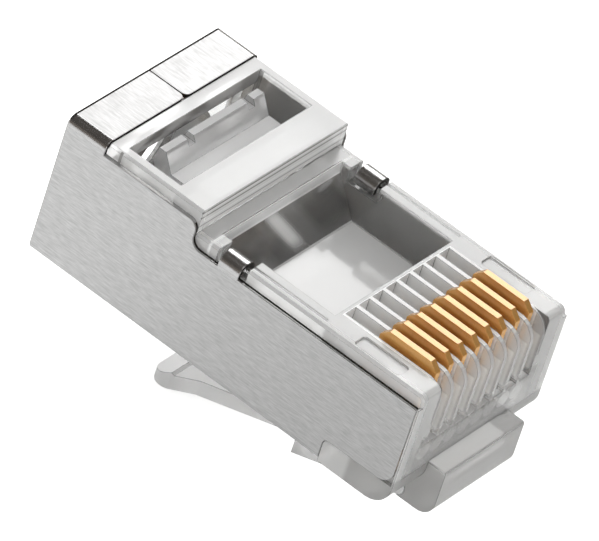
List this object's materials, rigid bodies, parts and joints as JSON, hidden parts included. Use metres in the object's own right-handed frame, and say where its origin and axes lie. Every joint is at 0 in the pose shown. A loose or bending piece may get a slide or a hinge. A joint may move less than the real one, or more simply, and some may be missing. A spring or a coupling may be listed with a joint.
{
  "type": "modular plug",
  "caption": "Shielded clear modular plug with gilt blade contacts, a latch lever and a strain relief bar, not yet crimped.",
  "frame": {"origin": "middle of the bottom edge of the plug's front face", "axes": "+Y from the front face towards the cable end, +Z towards the contacts' side, +X across the plug"},
  "size_m": [0.0116, 0.0227, 0.0139],
  "materials": {
    "clear_polycarbonate": "clear, moulded, lightly frosted on the latch",
    "nickel_plated_sheet": "brushed along the plug",
    "gold_plated_contact": "polished gold plate"
  },
  "bodies": {
    "housing": {"housing": "clear_polycarbonate", "shield": "nickel_plated_sheet"},
    "latch": {"latch_lever": "clear_polycarbonate"},
    "strain_relief": {"strain_relief_bar": "clear_polycarbonate"},
    "contact_1": {"contact_1": "gold_plated_contact"},
    "contact_2": {"contact_2": "gold_plated_contact"},
    "contact_3": {"contact_3": "gold_plated_contact"},
    "contact_4": {"contact_4": "gold_plated_contact"},
    "contact_5": {"contact_5": "gold_plated_contact"},
    "contact_6": {"contact_6": "gold_plated_contact"},
    "contact_7": {"contact_7": "gold_plated_contact"},
    "contact_8": {"contact_8": "gold_plated_contact"}
  },
  "joints": [
    {"name": "latch_press", "type": "hinge", "parent": "housing", "child": "latch", "pos_m": [0, 0.00115, -0.00072], "axis": [1, 0, 0], "range_deg": [0, 14], "stiffness_Nm_per_rad": 0.05},
    {"name": "strain_relief_press", "type": "hinge", "parent": "housing", "child": "strain_relief", "pos_m": [0, 0.01553, 0.00698], "axis": [-1, 0, 0], "range_deg": [0, 30], "stiffness_Nm_per_rad": 0.002},
    {"name": "contact_1_crimp", "type": "slide", "parent": "housing", "child": "contact_1", "axis": [0, 0, -1], "range_m": [0, 0.0011]},
    {"name": "contact_2_crimp", "type": "slide", "parent": "housing", "child": "contact_2", "axis": [0, 0, -1], "range_m": [0, 0.0011]},
    {"name": "contact_3_crimp", "type": "slide", "parent": "housing", "child": "contact_3", "axis": [0, 0, -1], "range_m": [0, 0.0011]},
    {"name": "contact_4_crimp", "type": "slide", "parent": "housing", "child": "contact_4", "axis": [0, 0, -1], "range_m": [0, 0.0011]},
    {"name": "contact_5_crimp", "type": "slide", "parent": "housing", "child": "contact_5", "axis": [0, 0, -1], "range_m": [0, 0.0011]},
    {"name": "contact_6_crimp", "type": "slide", "parent": "housing", "child": "contact_6", "axis": [0, 0, -1], "range_m": [0, 0.0011]},
    {"name": "contact_7_crimp", "type": "slide", "parent": "housing", "child": "contact_7", "axis": [0, 0, -1], "range_m": [0, 0.0011]},
    {"name": "contact_8_crimp", "type": "slide", "parent": "housing", "child": "contact_8", "axis": [0, 0, -1], "range_m": [0, 0.0011]}
  ],
  "couplings": [
    {"joint": "contact_2_crimp", "follows": "contact_1_crimp", "ratio": 1},
    {"joint": "contact_3_crimp", "follows": "contact_1_crimp", "ratio": 1},
    {"joint": "contact_4_crimp", "follows": "contact_1_crimp", "ratio": 1},
    {"joint": "contact_5_crimp", "follows": "contact_1_crimp", "ratio": 1},
    {"joint": "contact_6_crimp", "follows": "contact_1_crimp", "ratio": 1},
    {"joint": "contact_7_crimp", "follows": "contact_1_crimp", "ratio": 1},
    {"joint": "contact_8_crimp", "follows": "contact_1_crimp", "ratio": 1}
  ]
}
